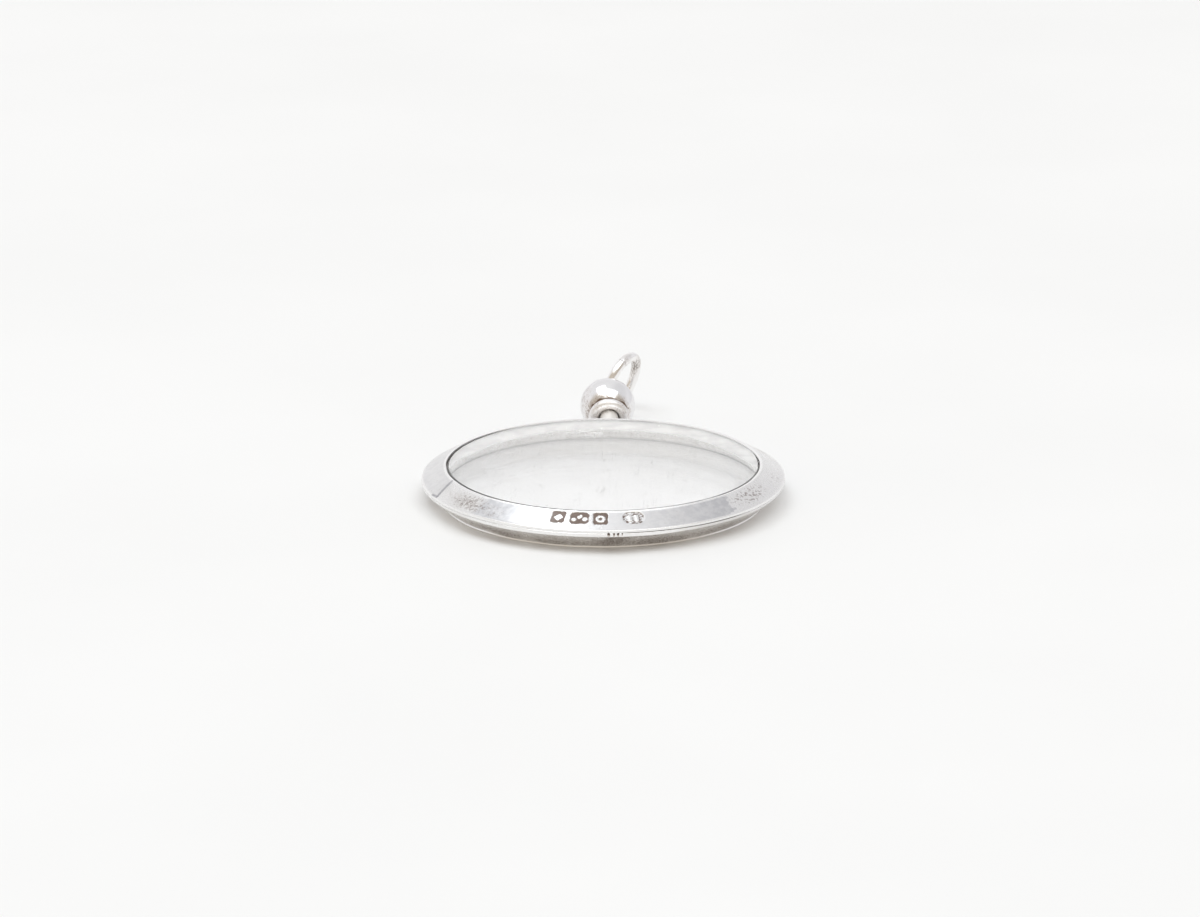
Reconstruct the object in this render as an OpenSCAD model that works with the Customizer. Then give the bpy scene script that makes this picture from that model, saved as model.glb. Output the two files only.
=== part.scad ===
// Round glass locket lying on its back: a knife-edged silver frame split along
// its edge into a front and a back rim, soldered together at the foot, with a
// glass pane in each rim. A split post stands at the head. A ball knob with a
// bead round its mouth goes over the post and holds the rims shut, and a plain
// ring hangs in the eye on the far side of the ball.
//
// Millimetres. The origin is the middle of the chamber between the panes,
// +Z is out of the front pane and +Y points from the foot to the head.
// The back lip, the ball and the ring all touch the plane z = -thickness / 2.

/* [Frame] */
// Diameter over the knife edge
frame_d = 30; // [26:0.5:36]
// Thickness from the front lip to the back lip
thickness = 3; // [2.8:0.1:3.4]
// Width of each bevel, seen from the front
bevel_w = 1.92; // [1.7:0.02:2.2]
// Height of the seam above the middle plane
seam_z = 0.25; // [0:0.05:0.3]
// Width of the seam between the two rims
seam_gap = 0.1; // [0.06:0.01:0.14]
// Width of the solder that joins the rims at the foot
solder_w = 4.4; // [2:0.2:8]

/* [Glass] */
// Thickness of each pane at its middle
glass_t = 0.75; // [0.6:0.05:0.9]
// How far each pane lies below its lip
glass_drop = 0.05; // [0.05:0.01:0.15]
// Width of the open channel between the lip and the raised pane
channel_w = 0.19; // [0.15:0.01:0.35]
// Width of the ground bevel round each pane
glass_bevel = 0.1; // [0.1:0.02:0.6]

/* [Punched fields] */
// Depth of the four punched fields on the front bevel
field_depth = 0.1; // [0.05:0.01:0.14]
// Height of the fields up the slope
field_h = 1.34; // [1:0.02:1.4]

/* [Post and knob] */
// Angle that the post rises out of the frame's plane
post_rise = 11.7; // [0:0.1:14]
// Angle that the post leans sideways
post_lean = 4.8; // [0:0.1:8]
// Radius of the split post
post_r = 0.8; // [0.6:0.05:0.8]
// Radial play between the post and the knob's bore
post_play = 0.04; // [0.02:0.01:0.08]
// Radius of the ball
ball_r = 2.35; // [2.1:0.05:2.5]
// Distance from the knife edge to the middle of the ball
ball_out = 4.24; // [4.1:0.02:4.6]
// Distance from the knife edge to the middle of the bead
bead_out = 2.05; // [1.95:0.01:2.15]
// Radius of the bead's centre line
bead_r = 1.32; // [1.28:0.01:1.4]
// Radius of the bead's own section
bead_w = 0.44; // [0.4:0.01:0.5]

/* [Eye and ring] */
// Radius of the eye's centre line
eye_r = 0.95; // [0.93:0.01:1]
// Radius of the eye's wire
eye_w = 0.3; // [0.26:0.01:0.32]
// Radius of the ring's centre line
ring_r = 2.5; // [2.4:0.05:2.6]
// Radius of the ring's wire
ring_w = 0.43; // [0.36:0.01:0.44]

/* [Hidden] */
$fn = 120;

edge_r = frame_d / 2;
half_t = thickness / 2;
lip_r = edge_r - bevel_w;             // outer edge of both lips
lip_in = lip_r - 0.06;                // inner wall of both lips
wall_r = lip_r - 0.18;                // inner wall between the panes
flange_t = 0.35;                      // thickness of a pane's flange
pane_out = half_t - glass_drop;       // outer face of a pane
pane_in = pane_out - glass_t;         // inner face of a pane
groove_in = pane_in - 0.03;           // groove that holds the flange
groove_out = pane_in + flange_t + 0.04;
groove_r = lip_r + 0.14;
seam_lo = seam_z - seam_gap / 2;
seam_hi = seam_z + seam_gap / 2;
front_edge = seam_hi + 0.18;          // where the front bevel starts
back_edge = seam_lo - 0.22;           // where the back bevel starts
front_slope = atan2(half_t - front_edge, bevel_w - 0.03);
ring_turn = 26;                       // the ring's plane turned from the post's
ring_tilt = 18.5;                     // and leaning to the side
ring_at = [0.565, edge_r + 9.53, 1.324 + 1.5 - half_t];
eye_out = ball_out + ball_r + 0.81;
eye_turn = 17.5;                      // how far the knob is turned on its post
post_in = -1.65;                      // the post starts inside the frame
post_end = ball_out + 0.3;

// Puts a child that is turned round +Z onto the leaning post's axis
module on_post() {
    translate([0, edge_r, 0]) rotate([0, 0, post_lean])
        rotate([post_rise - 90, 0, 0]) children();
}

// Section of the front rim, from the seam up to the lip
module front_section() {
    polygon([
        [wall_r + 0.12, seam_hi], [edge_r - 0.07, seam_hi],
        [edge_r - 0.03, seam_hi + 0.04], [edge_r - 0.03, front_edge - 0.02],
        [edge_r - 0.05, front_edge], [lip_r + 0.05, half_t - 0.035],
        [lip_r, half_t], [lip_in, half_t], [lip_in, groove_out],
        [groove_r, groove_out], [groove_r, groove_in],
        [wall_r, groove_in], [wall_r, seam_hi + 0.12]
    ]);
}

// Section of the back rim, from the lip up to the seam
module back_section() {
    polygon([
        [wall_r + 0.12, seam_lo], [edge_r - 0.05, seam_lo],
        [edge_r, seam_lo - 0.04], [edge_r, back_edge],
        [edge_r - 0.03, back_edge - 0.03], [lip_r + 0.19, -half_t + 0.143],
        [lip_r + 0.23, -half_t + 0.04], [lip_r + 0.20, -half_t],
        [lip_in, -half_t], [lip_in, -groove_out],
        [groove_r, -groove_out], [groove_r, -groove_in],
        [wall_r, -groove_in], [wall_r, seam_lo - 0.12]
    ]);
}

// Solder that fills the seam at the foot, just short of the edge
module solder() {
    intersection() {
        rotate_extrude() translate([wall_r + 0.2, seam_lo - 0.1])
            square([edge_r - 0.16 - wall_r - 0.2, seam_gap + 0.2]);
        translate([0.7 - solder_w / 2, -edge_r - 1, -1])
            cube([solder_w, edge_r, 3]);
    }
}

// Block with rounded corners, for the punched fields
module rounded(w, h, r) {
    square([w - 2 * r, h], center = true);
    square([w, h - 2 * r], center = true);
    for (x = [-1, 1], y = [-1, 1])
        translate([x * (w / 2 - r), y * (h / 2 - r)]) circle(r, $fn = 32);
}

// Puts a flat child on the front bevel, turned from the foot by an angle
module on_bevel(angle) {
    rotate([0, 0, angle]) translate([0, -lip_r, half_t])
        rotate([front_slope, 0, 0]) translate([0, -0.1 - field_h / 2, 0])
            children();
}

// A punched field: the sunk ground without its raised figure
module punched(angle) {
    on_bevel(angle) translate([0, 0, -field_depth])
        linear_extrude(0.5) difference() { children(0); children(1); }
    on_bevel(angle) translate([0, 0, -0.025])
        linear_extrude(0.5) children(0);
}

// Four plain decorative fields: a lozenge, three dots, a ring and two bars
module fields() {
    punched(-12.9) { rounded(1.2, field_h, 0.22); rotate(45) square(0.5, center = true); }
    punched(-5.7) {
        rounded(1.6, field_h, 0.4);
        for (x = [-0.45, 0, 0.45]) translate([x, (x == 0) ? 0.16 : -0.12]) circle(0.17, $fn = 24);
    }
    punched(1.3) {
        rounded(1.22, field_h, 0.22);
        difference() { circle(0.36, $fn = 32); circle(0.18, $fn = 24); }
    }
    punched(12.35) {
        rounded(1.75, field_h, 0.6);
        for (x = [-0.28, 0.28]) translate([x, 0]) square([0.24, 0.66], center = true);
    }
}

// Small holes left in the solder along the edge
module pits() {
    for (p = [[3.9, 0.11], [5.5, 0.08], [6.75, 0.09], [8, 0.06]])
        rotate([0, 0, p[0]]) translate([0, -edge_r + 0.02, seam_z - 0.08]) sphere(p[1], $fn = 24);
}

module frame() {
    color("silver") difference() {
        union() {
            rotate_extrude() front_section();
            rotate_extrude() back_section();
            solder();
            split_post();
        }
        fields();
        pits();
    }
}

// The post, in two halves: the upper on the front rim, the lower on the back
module split_post() {
    difference() {
        on_post() union() {
            translate([0, 0, post_in]) cylinder(h = post_end - 0.15 - post_in, r = post_r);
            translate([0, 0, post_end - 0.15]) cylinder(h = 0.15, r1 = post_r, r2 = post_r - 0.15);
        }
        translate([0, 0, seam_lo]) cylinder(h = seam_gap, r = edge_r + seam_z / tan(post_rise + 0.01) + 0.1);
        on_post() translate([-2, -seam_gap / 2, seam_z / sin(post_rise + 0.01)])
            cube([4, seam_gap, 8]);
    }
}

// Front pane: a flange held in the rim's groove and a raised, bevelled middle
module pane() {
    rotate_extrude() polygon([
        [0, pane_in], [groove_r - 0.04, pane_in], [groove_r - 0.04, pane_in + flange_t],
        [lip_in - channel_w, pane_in + flange_t], [lip_in - channel_w, pane_out - 0.16],
        [lip_in - channel_w - glass_bevel, pane_out], [0, pane_out]
    ]);
}

module front_glass() { color([0.86, 0.9, 0.91, 0.35]) pane(); }

module back_glass() { color([0.86, 0.9, 0.91, 0.35]) mirror([0, 0, 1]) pane(); }

module ball_knob() {
    color("silver") on_post() difference() {
        union() {
            translate([0, 0, ball_out]) sphere(ball_r);
            translate([0, 0, bead_out]) rotate_extrude() translate([bead_r, 0]) circle(bead_w, $fn = 48);
            translate([0, 0, bead_out]) cylinder(h = ball_out - bead_out, r = bead_r - 0.1);
            translate([0, 0, eye_out]) rotate([0, 0, eye_turn]) rotate([90, 0, 0])
                rotate_extrude() translate([eye_r, 0]) circle(eye_w, $fn = 48);
        }
        translate([0, 0, -1]) cylinder(h = post_end + 1.2, r = post_r + post_play);
    }
}

module bail_ring() {
    color("silver") translate(ring_at) rotate([0, 0, -ring_turn]) rotate([0, ring_tilt, 0])
        rotate([0, 90, 0]) rotate_extrude() translate([ring_r, 0]) circle(ring_w, $fn = 48);
}

frame();
front_glass();
back_glass();
ball_knob();
bail_ring();
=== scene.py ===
import math

import bpy
import numpy as np
from mathutils import Matrix, Vector

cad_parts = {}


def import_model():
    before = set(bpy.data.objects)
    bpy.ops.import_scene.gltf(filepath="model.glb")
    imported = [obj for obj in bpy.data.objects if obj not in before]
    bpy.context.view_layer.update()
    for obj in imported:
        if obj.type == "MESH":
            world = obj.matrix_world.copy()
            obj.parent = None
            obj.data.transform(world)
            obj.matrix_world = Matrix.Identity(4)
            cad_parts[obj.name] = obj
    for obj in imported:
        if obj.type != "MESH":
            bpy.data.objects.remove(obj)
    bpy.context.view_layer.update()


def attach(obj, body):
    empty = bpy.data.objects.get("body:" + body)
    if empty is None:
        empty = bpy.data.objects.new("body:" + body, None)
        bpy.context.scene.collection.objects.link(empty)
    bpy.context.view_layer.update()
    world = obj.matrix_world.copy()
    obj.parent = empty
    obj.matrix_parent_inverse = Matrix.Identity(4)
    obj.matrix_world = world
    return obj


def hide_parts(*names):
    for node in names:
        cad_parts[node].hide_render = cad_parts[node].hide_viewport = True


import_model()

MM = 0.001

# ---------------------------------------------------------------- camera
# The angle of the photograph: a long lens about 0.4 m away, 17 degrees above
# the table, with the middle of the locket at (603.2, 480.8) of 1200 x 917.


def make_camera():
    el, az, dist, focal = math.radians(17.25), math.radians(2.25), 0.400, 4848.0
    back = Vector((math.sin(az) * math.cos(el), -math.cos(az) * math.cos(el), math.sin(el)))
    right = Vector((math.cos(az), math.sin(az), 0.0))
    up = back.cross(right)
    look = Matrix((right, up, back)).transposed()
    seen = Vector((3.2 / focal, -22.3 / focal, -1.0)).normalized()
    turn = seen.rotation_difference(Vector((0.0, 0.0, -1.0))).to_matrix()
    roll = Matrix.Rotation(math.radians(-0.15), 3, "Z")
    data = bpy.data.cameras.new("camera")
    data.sensor_width = 36.0
    data.lens = focal / 1200.0 * 36.0
    data.clip_start, data.clip_end = 0.01, 50.0
    data.dof.use_dof = False
    cam = bpy.data.objects.new("camera", data)
    cam.matrix_world = Matrix.Translation(back * dist) @ (look @ turn @ roll).to_4x4()
    bpy.context.scene.collection.objects.link(cam)
    bpy.context.scene.camera = cam


make_camera()

# ---------------------------------------------------------------- sizes, mm
EDGE_R = 15.0
LIP_R, LIP_IN, WALL_R, GROOVE_R = 13.08, 13.02, 12.90, 13.22
LIP_OVER = 12.975  # how far the lips were rubbed in over the panes' channels
SEAM_LO, SEAM_HI = 0.20, 0.30
FRONT_EDGE, BACK_EDGE = 0.48, -0.02
PANE_IN, PANE_OUT, FLANGE = 0.70, 1.45, 0.35
RISE, LEAN = math.radians(11.7), math.radians(4.8)
SLOPE = math.atan2(1.5 - FRONT_EDGE, 1.89)
FIELD_H, FIELD_DEPTH = 1.34, 0.10
FIELDS = [(-12.9, 1.20), (-5.7, 1.60), (1.3, 1.22), (12.35, 1.75)]
PITS = [(3.9, 0.11), (5.5, 0.08), (6.75, 0.09), (8.0, 0.06)]
BALL_R, BALL_AT, BEAD_AT, BEAD_R, BEAD_W = 2.35, 4.24, 2.05, 1.32, 0.44
BORE_R, POST_R, POST_END = 0.84, 0.80, 4.54
EYE_AT, EYE_R, EYE_W, EYE_TURN = 7.40, 0.95, 0.30, math.radians(17.5)
RING_AT, RING_R, RING_W = (0.565, 24.53, 1.324), 2.5, 0.43

ON_POST = (
    Matrix.Translation((0, EDGE_R, 0))
    @ Matrix.Rotation(LEAN, 4, "Z")
    @ Matrix.Rotation(RISE - math.pi / 2, 4, "X")
)
RING_M = (
    Matrix.Translation(RING_AT)
    @ Matrix.Rotation(math.radians(-26), 4, "Z")
    @ Matrix.Rotation(math.radians(18.5), 4, "Y")
    @ Matrix.Rotation(math.radians(90), 4, "Y")
)

# ---------------------------------------------------------------- helpers


def smooth(a, b, x):
    t = np.clip((np.asarray(x, float) - a) / (b - a), 0.0, 1.0)
    return t * t * (3.0 - 2.0 * t)


class Waves:
    """A smooth random field over space: a seeded sum of sine waves, about -1 to 1."""

    def __init__(self, seed, shortest, longest, count=14):
        rng = np.random.default_rng(seed)
        way = rng.normal(size=(count, 3))
        way /= np.linalg.norm(way, axis=1)[:, None]
        length = np.exp(rng.uniform(math.log(shortest), math.log(longest), count))
        self.k = way * (2 * math.pi / length)[:, None]
        self.p = rng.uniform(0, 2 * math.pi, count)
        self.n = math.sqrt(count / 2.0) * 1.4

    def __call__(self, pts):
        return np.sin(np.asarray(pts, float) @ self.k.T + self.p).sum(1) / self.n


def fillet(pts, rads, steps=4, closed=True):
    """Rounds each corner of a polygon with its own radius, in one number of steps or in a list of them."""
    out, n = [], len(pts)
    each = [steps] * n if isinstance(steps, int) else steps
    for i in range(n):
        p, r = np.array(pts[i], float), rads[i]
        if r <= 0 or (not closed and i in (0, n - 1)):
            out.append(p)
            continue
        u = np.array(pts[i - 1], float) - p
        v = np.array(pts[(i + 1) % n], float) - p
        lu, lv = np.linalg.norm(u), np.linalg.norm(v)
        u, v = u / lu, v / lv
        ang = math.acos(max(-1.0, min(1.0, float(u @ v))))
        if ang > math.pi - 0.03:
            out.append(p)
            continue
        t = min(r / math.tan(ang / 2), 0.46 * lu, 0.46 * lv)
        r = t * math.tan(ang / 2)
        c = p + (u + v) / np.linalg.norm(u + v) * (r / math.sin(ang / 2))
        p0, p1 = p + u * t - c, p + v * t - c
        a0 = math.atan2(p0[1], p0[0])
        d = (math.atan2(p1[1], p1[0]) - a0 + math.pi) % (2 * math.pi) - math.pi
        for k in range(each[i] + 1):
            th = a0 + d * k / each[i]
            out.append(c + r * np.array([math.cos(th), math.sin(th)]))
    return np.array(out)


def spread(pts, step, closed=True, near=0.012):
    """Adds points along the long sides, with one close to each end so that smooth shading stays flat there."""
    out, n = [], len(pts)
    for i in range(n if closed else n - 1):
        a, b = pts[i], pts[(i + 1) % n]
        length = float(np.linalg.norm(b - a))
        out.append(a)
        if length > 5 * near:
            e = near / length
            m = max(1, math.ceil((length - 2 * near) / step))
            out += [a + (b - a) * t for t in np.linspace(e, 1 - e, m + 1)]
    if not closed:
        out.append(pts[-1])
    return np.array(out)


def new_object(name, verts, faces, matrix=None, attrs=None, material=None):
    """A smooth-shaded mesh from millimetres, with its faces turned outward."""
    v = np.asarray(verts, float)
    if matrix is not None:
        m = np.array(matrix, float)
        v = v @ m[:3, :3].T + m[:3, 3]
    me = bpy.data.meshes.new(name)
    me.from_pydata((v * MM).tolist(), [], [list(map(int, f)) for f in faces])
    me.update()
    tri = 0.0
    for f in me.polygons:
        c = [me.vertices[i].co for i in f.vertices]
        for k in range(1, len(c) - 1):
            tri += c[0].dot(c[k].cross(c[k + 1]))
    if tri < 0:
        me.flip_normals()
    me.polygons.foreach_set("use_smooth", [True] * len(me.polygons))
    for key, values in (attrs or {}).items():
        a = me.attributes.new(key, "FLOAT", "POINT")
        a.data.foreach_set("value", np.asarray(values, np.float32))
    if material is not None:
        me.materials.append(material)
    me.update()
    ob = bpy.data.objects.new(name, me)
    bpy.context.scene.collection.objects.link(ob)
    return ob


def grid_faces(rows, cols, wrap_rows, wrap_cols):
    i = np.arange(rows if wrap_rows else rows - 1)
    j = np.arange(cols if wrap_cols else cols - 1)
    ii, jj = np.meshgrid(i, j, indexing="ij")
    i2, j2 = (ii + 1) % rows, (jj + 1) % cols
    f = np.stack([ii * cols + jj, ii * cols + j2, i2 * cols + j2, i2 * cols + jj], -1)
    return f.reshape(-1, 4)


def revolve(prof, phis, full=True):
    """(points, faces) of a profile (r, z) turned about Z. Angle 0 is the foot (-Y), growing towards +X."""
    r, z = prof[:, 0], prof[:, 1]
    p = np.asarray(phis, float)[:, None]
    pts = np.stack([r * np.sin(p), -r * np.cos(p), z + 0 * p], -1).reshape(-1, 3)
    return pts, grid_faces(len(phis), len(prof), full, True)


def capped(faces, rows, cols):
    return faces.tolist() + [list(range(cols))[::-1], list(range((rows - 1) * cols, rows * cols))]


def disc_revolve(prof, count):
    """A profile that starts and ends on the axis, turned about Z, with one point at each pole."""
    phis = np.linspace(0, 2 * math.pi, count, endpoint=False)
    ring = prof[1:-1]
    pts, faces = [], []
    for p in phis:
        pts.append(np.stack([ring[:, 0] * math.sin(p), -ring[:, 0] * math.cos(p), ring[:, 1]], -1))
    pts = np.concatenate(pts)
    n = len(ring)
    faces = grid_faces(count, n, True, False).tolist()
    a, b = len(pts), len(pts) + 1
    pts = np.concatenate([pts, [[0, 0, prof[0][1]], [0, 0, prof[-1][1]]]])
    for i in range(count):
        k = (i + 1) % count
        faces.append([i * n, k * n, a])
        faces.append([k * n + n - 1, i * n + n - 1, b])
    return pts, faces


# ---------------------------------------------------------------- node helper


class Mat:
    def __init__(self, name):
        self.mat = bpy.data.materials.new(name)
        self.mat.use_nodes = True
        self.nt = self.mat.node_tree
        self.nt.nodes.clear()
        self.out = self.nt.nodes.new("ShaderNodeOutputMaterial")
        self.bsdf = self.nt.nodes.new("ShaderNodeBsdfPrincipled")
        self.nt.links.new(self.bsdf.outputs[0], self.out.inputs[0])
        coord = self.nt.nodes.new("ShaderNodeTexCoord")
        scale = self.nt.nodes.new("ShaderNodeMapping")
        scale.inputs["Scale"].default_value = (1000, 1000, 1000)
        self.nt.links.new(coord.outputs["Object"], scale.inputs["Vector"])
        self.p = scale.outputs[0]

    def put(self, socket, value):
        if isinstance(value, bpy.types.NodeSocket):
            self.nt.links.new(value, socket)
        else:
            socket.default_value = value

    def math(self, op, a, b=None, c=None, clamp=False):
        n = self.nt.nodes.new("ShaderNodeMath")
        n.operation, n.use_clamp = op, clamp
        for i, x in enumerate((a, b, c)):
            if x is not None:
                self.put(n.inputs[i], x)
        return n.outputs[0]

    def add(self, a, b, clamp=False):
        return self.math("ADD", a, b, clamp=clamp)

    def mul(self, a, b, clamp=False):
        return self.math("MULTIPLY", a, b, clamp=clamp)

    def ramp(self, x, a, b, lo=0.0, hi=1.0):
        n = self.nt.nodes.new("ShaderNodeMapRange")
        n.interpolation_type = "SMOOTHSTEP"
        n.clamp = True
        for key, v in (("Value", x), ("From Min", a), ("From Max", b), ("To Min", lo), ("To Max", hi)):
            self.put(n.inputs[key], v)
        return n.outputs[0]

    def attr(self, name):
        n = self.nt.nodes.new("ShaderNodeAttribute")
        n.attribute_name = name
        return n.outputs["Fac"]

    def placed(self, scale=(1, 1, 1), turn=(0, 0, 0), of=None):
        n = self.nt.nodes.new("ShaderNodeMapping")
        n.inputs["Scale"].default_value = scale
        n.inputs["Rotation"].default_value = [math.radians(t) for t in turn]
        self.put(n.inputs["Vector"], of or self.p)
        return n.outputs[0]

    def noise(self, scale, detail=4.0, rough=0.55, of=None, warp=0.0):
        n = self.nt.nodes.new("ShaderNodeTexNoise")
        self.put(n.inputs["Vector"], of or self.p)
        n.inputs["Scale"].default_value = scale
        n.inputs["Detail"].default_value = detail
        n.inputs["Roughness"].default_value = rough
        n.inputs["Distortion"].default_value = warp
        return n.outputs["Fac"]

    def cells(self, scale, of=None, jitter=1.0):
        n = self.nt.nodes.new("ShaderNodeTexVoronoi")
        self.put(n.inputs["Vector"], of or self.p)
        n.inputs["Scale"].default_value = scale
        n.inputs["Randomness"].default_value = jitter
        return n.outputs["Distance"], n.outputs["Color"]

    def join(self, x, y, z):
        n = self.nt.nodes.new("ShaderNodeCombineXYZ")
        for i, v in enumerate((x, y, z)):
            self.put(n.inputs[i], v)
        return n.outputs[0]

    def mix(self, f, a, b):
        n = self.nt.nodes.new("ShaderNodeMix")
        n.data_type = "RGBA"
        self.put(n.inputs[0], f)
        self.put(n.inputs[6], a if isinstance(a, bpy.types.NodeSocket) else (*a, 1.0))
        self.put(n.inputs[7], b if isinstance(b, bpy.types.NodeSocket) else (*b, 1.0))
        return n.outputs[2]

    def bump(self, height, distance, strength=1.0, after=None):
        n = self.nt.nodes.new("ShaderNodeBump")
        n.inputs["Strength"].default_value = strength
        n.inputs["Distance"].default_value = distance * MM
        self.put(n.inputs["Height"], height)
        if after is not None:
            self.put(n.inputs["Normal"], after)
        return n.outputs[0]

    def set(self, **values):
        for key, v in values.items():
            self.put(self.bsdf.inputs[key.replace("_", " ")], v if not isinstance(v, tuple) else (*v, 1.0))
        return self.mat


def hairlines(m, scale, along, turn, cut, of=None):
    """Thin straight scratches: noise drawn out along one way and cut near its middle value."""
    v = m.placed((scale, scale * along, scale), turn, of)
    n = m.noise(1.0, 2.0, 0.4, v)
    d = m.math("ABSOLUTE", m.math("SUBTRACT", n, 0.5))
    return m.ramp(d, 0.0, cut, 1.0, 0.0)


def silver(name, base, dull, dark, rough, marks=1.0, haze=0.0):
    """Old polished silver. Vertex data says where it is recessed and darkened, partly as grime and partly as painted
    shade (cavity), rubbed bright or lit by a painted highlight (edge), tarnished (tarnish) or gouged (scratch); noise
    breaks each of them up."""
    m = Mat(name)
    cavity, edge = m.attr("cavity"), m.attr("edge")
    tarnish, gouge = m.attr("tarnish"), m.attr("scratch")
    cloud = m.noise(0.22, 3.0, 0.5, warp=0.6)
    mottle = m.noise(2.3, 7.0, 0.66)
    speck = m.noise(8.5, 6.0, 0.68)
    grit = m.noise(34.0, 3.0, 0.6)
    # tarnish: a thin grey film with a ragged edge, speckled where it is heavy, over a faint overall veil
    ragged = m.add(tarnish, m.mul(m.math("SUBTRACT", mottle, 0.5), 0.9))
    film = m.mul(m.ramp(ragged, 0.12, 0.62), m.ramp(speck, 0.36, 0.60, 0.30, 0.85))
    dots = m.mul(m.ramp(m.add(m.mul(ragged, 0.18), speck), 0.60, 0.68), m.ramp(ragged, 0.25, 0.60))
    veil = m.mul(m.ramp(cloud, 0.40, 0.70), 0.14 + haze)
    stain = m.ramp(m.add(m.attr("stain"), m.mul(m.math("SUBTRACT", mottle, 0.5), 1.2)), 0.42, 0.58)
    stain = m.mul(m.mul(stain, m.attr("tone")), m.ramp(m.noise(1.6, 5.0, 0.6), 0.36, 0.62, 0.72, 1.16), clamp=True)
    film = m.add(film, veil, clamp=True)
    grime_and_shade = m.mul(m.ramp(m.add(cavity, m.mul(m.math("SUBTRACT", mottle, 0.5), 0.5)), 0.25, 0.85), 1.0)
    hair = m.math(
        "MAXIMUM",
        hairlines(m, 1.1, 0.06, (0, 0, 24), 0.010),
        m.math("MAXIMUM", hairlines(m, 1.6, 0.05, (0, 0, -52), 0.008), hairlines(m, 0.9, 0.05, (20, 0, 81), 0.009)),
    )
    hair = m.mul(hair, m.ramp(m.noise(0.9, 2.0), 0.50, 0.66))
    colour = m.mix(m.mul(film, 0.75), base, dull)
    colour = m.mix(m.mul(stain, 0.80), colour, (0.50, 0.50, 0.52))
    colour = m.mix(m.mul(dots, 0.75), colour, dark)
    freckle = m.attr("freckle")
    fleck = m.ramp(m.add(m.noise(4.2, 2.0, 0.6), m.mul(freckle, 0.05)), 0.565, 0.65)
    colour = m.mix(m.mul(m.mul(fleck, m.ramp(freckle, 0.08, 0.6)), 0.85), colour, (0.27, 0.22, 0.205))
    # cavity darkens the colour, partly grime and partly painted shade; edge lightens it, partly rubbed silver and
    # partly painted highlight
    colour = m.mix(m.mul(grime_and_shade, m.ramp(edge, 0.2, 0.8, 1.0, 0.15)), colour, dark)
    colour = m.mix(m.mul(gouge, 0.85), colour, (0.30, 0.30, 0.325))
    colour = m.mix(m.mul(edge, 0.55), colour, (0.97, 0.965, 0.96))
    r = m.add(m.add(rough, m.mul(m.attr("matt"), 0.50)), m.mul(m.math("SUBTRACT", mottle, 0.5), 0.16))
    r = m.add(r, m.mul(m.math("MAXIMUM", film, stain), 0.16))
    r = m.add(r, m.mul(grime_and_shade, 0.28))
    r = m.add(r, m.mul(hair, 0.10 * marks))
    r = m.math("SUBTRACT", r, m.mul(edge, 0.07), clamp=True)
    fine = m.bump(m.add(m.mul(grit, 0.6), m.mul(speck, 1.2)), 0.0022 * marks)
    lines = m.bump(hair, -0.004 * marks, after=fine)
    pitted = m.bump(m.mul(m.ramp(speck, 0.62, 0.75), m.add(m.mul(tarnish, 0.7), m.mul(grime_and_shade, 0.8))), -0.012, after=lines)
    return m.set(Base_Color=colour, Metallic=1.0, Roughness=r, Normal=pitted)


def clear_glass(name):
    """Old bevelled glass: clear, with hairlines, rubbed spots, dust and grime round its rim that is painted dark as
    shade at the sides and white as light at the head, and a painted white veil of light over its far part.
    """
    m = Mat(name)
    rim_grime_and_light, ground = m.attr("rim_grime_and_light"), m.attr("ground")
    patch = m.attr("patch")
    smear = m.noise(0.35, 4.0, 0.6, warp=1.2)
    grain = m.noise(14.0, 4.0, 0.6)
    hair = m.math(
        "MAXIMUM",
        hairlines(m, 0.7, 0.04, (0, 0, 12), 0.006),
        m.math("MAXIMUM", hairlines(m, 0.9, 0.03, (0, 0, -35), 0.005), hairlines(m, 0.6, 0.03, (0, 0, 78), 0.005)),
    )
    hair = m.mul(hair, m.ramp(m.add(m.noise(0.5, 2.0), m.mul(patch, 0.35)), 0.54, 0.68))
    near, tint = m.cells(1.15)
    pick = m.nt.nodes.new("ShaderNodeSeparateColor")
    m.nt.links.new(tint, pick.inputs[0])
    some = m.math("GREATER_THAN", m.add(pick.outputs[0], m.mul(patch, 0.25)), 0.86)
    size = m.add(0.03, m.mul(pick.outputs[1], 0.045))
    dust = m.mul(m.math("LESS_THAN", near, size), some)
    r = m.add(0.012, m.mul(m.ramp(smear, 0.5, 0.75), 0.03))
    r = m.add(r, m.mul(ground, 0.05))
    r = m.add(r, m.mul(hair, 0.25))
    r = m.add(r, m.mul(patch, 0.04))
    r = m.add(r, m.mul(rim_grime_and_light, 0.5), clamp=True)
    patchy_grime_and_light = m.mul(rim_grime_and_light, m.ramp(m.noise(3.0, 5.0), 0.25, 0.55, 0.55, 1.0))
    # where the front was rubbed on one spot, fine parallel wear scatters a little white light
    worn = m.noise(1.0, 3.0, 0.55, m.placed((1.0, 3.2, 1.0), (0, 0, -8)))
    worn = m.mul(m.mul(patch, patch), m.ramp(worn, 0.50, 0.62, 0.0, 0.85))
    # painted light: a white veil that lightens the shade seen through the far part of the front pane
    painted_light_veil = m.mul(m.attr("painted_light_veil"), m.ramp(m.noise(0.5, 2.0, 0.5), 0.30, 0.70, 0.34, 0.46))
    worn = m.math("MAXIMUM", worn, painted_light_veil)
    keep = m.math("SUBTRACT", 1.0, m.math("MAXIMUM", m.math("MAXIMUM", patchy_grime_and_light, worn), m.mul(dust, 0.8)), clamp=True)
    colour = m.mix(patchy_grime_and_light, (1.0, 1.0, 1.0), m.mix(m.attr("pale"), (0.20, 0.18, 0.17), (0.93, 0.93, 0.92)))
    wave = m.bump(m.noise(0.16, 2.0, 0.4), 0.004)
    nicks = m.bump(m.add(hair, m.mul(grain, m.mul(ground, 0.6))), -0.0015, after=wave)
    m.bsdf.inputs["IOR"].default_value = 1.52
    return m.set(Base_Color=colour, Roughness=r, Transmission_Weight=keep, Normal=nicks)


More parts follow.
